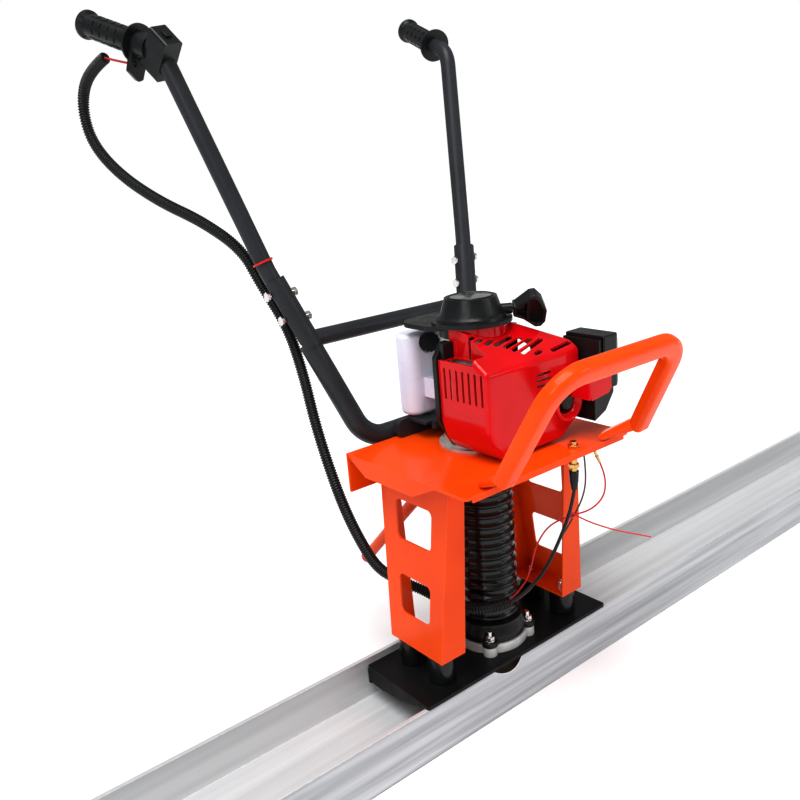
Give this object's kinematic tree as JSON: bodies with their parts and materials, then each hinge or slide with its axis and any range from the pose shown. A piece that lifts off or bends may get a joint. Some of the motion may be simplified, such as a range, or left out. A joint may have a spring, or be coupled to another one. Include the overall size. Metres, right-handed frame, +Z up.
{
  "type": "power screed",
  "caption": "Walk-behind vibrating screed: engine on a sprung deck above a long aluminium blade, driven by a sleeved shaft, with two bent handlebars, front lifting loop and prop stand.",
  "frame": {"origin": "on the ground under the engine's crank axis, in the blade's flat sole", "axes": "+X along the blade, +Y back towards the operator, +Z up along the crank axis"},
  "size_m": [2.5, 0.7849, 1.0288],
  "materials": {
    "blade_metal": "mill finish",
    "deck_paint": "gloss",
    "frame_paint": "satin",
    "rubber": "matt",
    "black_plastic": "moulded",
    "red_plastic": "gloss",
    "tank_plastic": "translucent",
    "primer_plastic": "clear",
    "zinc_steel": "zinc plated",
    "steel": "machined",
    "cast_metal": "as cast",
    "engine_alloy": "die cast",
    "brass": "turned",
    "red_lead": "smooth",
    "brown_lead": "smooth",
    "rope": "braided"
  },
  "bodies": {
    "frame": {"blade": "blade_metal", "base_plate": "frame_paint", "exciter_housing": "cast_metal", "exciter_flange": "engine_alloy", "bellows_clamp": "rubber", "flange_bolts": "zinc_steel", "bellows": "rubber", "rubber_mounts": "rubber", "column_left": "deck_paint", "column_right": "deck_paint", "deck": "deck_paint", "front_handle": "deck_paint", "handle_frame": "frame_paint", "crossbar": "frame_paint", "upper_bar_left": "frame_paint", "upper_bar_right": "frame_paint", "frame_bolts": "zinc_steel", "grip_left": "rubber", "grip_right": "rubber", "throttle_housing": "black_plastic", "shaft_bearings": "steel", "crankcase": "engine_alloy", "cylinder": "engine_alloy", "spark_plug": "zinc_steel", "plug_boot": "rubber", "muffler": "steel", "muffler_guard": "black_plastic", "fan_shroud": "red_plastic", "shroud_liner": "black_plastic", "recoil_cover": "black_plastic", "fuel_tank": "tank_plastic", "tank_guard": "frame_paint", "carburettor": "engine_alloy", "air_cleaner_base": "black_plastic", "stand_bracket": "deck_paint", "cable_adjuster": "brass", "cable_boot": "rubber", "conduit": "black_plastic", "throttle_cable": "black_plastic", "stop_wire": "red_lead", "ground_wire": "brown_lead", "switch_lead": "red_lead", "cable_ties": "red_lead"},
    "crank": {"crankshaft": "steel", "flywheel_fan": "engine_alloy", "clutch_shoes": "cast_metal"},
    "drive": {"clutch_drum": "steel", "drive_shaft": "steel", "eccentric_weight": "cast_metal"},
    "throttle": {"throttle_lever": "black_plastic"},
    "carburettor_arm": {"throttle_arm": "zinc_steel"},
    "stop_switch": {"stop_button": "black_plastic"},
    "starter": {"starter_grip": "black_plastic", "starter_rope": "rope"},
    "rope_drum": {"recoil_pulley": "black_plastic"},
    "tank_cap": {"fuel_cap": "black_plastic"},
    "primer": {"primer_bulb": "primer_plastic"},
    "filter_cover": {"air_cleaner_cover": "black_plastic"},
    "stand": {"kick_stand": "deck_paint", "stand_cap": "red_plastic"}
  },
  "joints": [
    {"name": "crank_spin", "type": "hinge", "parent": "frame", "child": "crank", "pos_m": [0, 0, 0.45], "axis": [0, 0, 1], "continuous": true},
    {"name": "drive_spin", "type": "hinge", "parent": "frame", "child": "drive", "pos_m": [0, 0, 0.2], "axis": [0, 0, 1], "continuous": true},
    {"name": "throttle_squeeze", "type": "hinge", "parent": "frame", "child": "throttle", "pos_m": [-0.27397, 0.35109, 0.96823], "axis": [-0.2452, 0.903, 0.3528], "range_deg": [0, 35], "stiffness_Nm_per_rad": 0.3, "springref_deg": -17.19},
    {"name": "carburettor_turn", "type": "hinge", "parent": "frame", "child": "carburettor_arm", "pos_m": [0.062, -0.054, 0.49], "axis": [0, 0, 1], "range_deg": [0, 50]},
    {"name": "stop_press", "type": "slide", "parent": "frame", "child": "stop_switch", "axis": [-0.035, 0.7334, -0.6789], "range_m": [0, 0.0025], "stiffness_N_per_m": 800, "springref_m": -0.001},
    {"name": "starter_pull", "type": "slide", "parent": "frame", "child": "starter", "axis": [0.8, -0.6, 0], "range_m": [0, 0.6], "stiffness_N_per_m": 15, "springref_m": -0.5},
    {"name": "rope_drum_turn", "type": "hinge", "parent": "frame", "child": "rope_drum", "pos_m": [0, 0, 0.57], "axis": [0, 0, 1], "range_deg": [0, 1230]},
    {"name": "tank_cap_turn", "type": "hinge", "parent": "frame", "child": "tank_cap", "pos_m": [-0.0136, 0.0798, 0.52], "axis": [-0.5486, -0.798, 0.2494], "range_deg": [0, 270]},
    {"name": "primer_press", "type": "slide", "parent": "frame", "child": "primer", "axis": [0, -1, 0], "range_m": [0, 0.004], "stiffness_N_per_m": 500, "springref_m": -0.001},
    {"name": "filter_cover_open", "type": "hinge", "parent": "frame", "child": "filter_cover", "pos_m": [0.161, -0.099, 0.4485], "axis": [0, 1, 0], "range_deg": [0, 70]},
    {"name": "stand_fold", "type": "hinge", "parent": "frame", "child": "stand", "pos_m": [-0.076, 0.058, 0.3], "axis": [1, 0, 0], "range_deg": [-25, 40]}
  ],
  "couplings": [
    {"joint": "drive_spin", "follows": "crank_spin", "ratio": 1},
    {"joint": "carburettor_turn", "follows": "throttle_squeeze", "ratio": 1.4},
    {"joint": "rope_drum_turn", "follows": "starter_pull", "rad_per_m": 35.714}
  ]
}
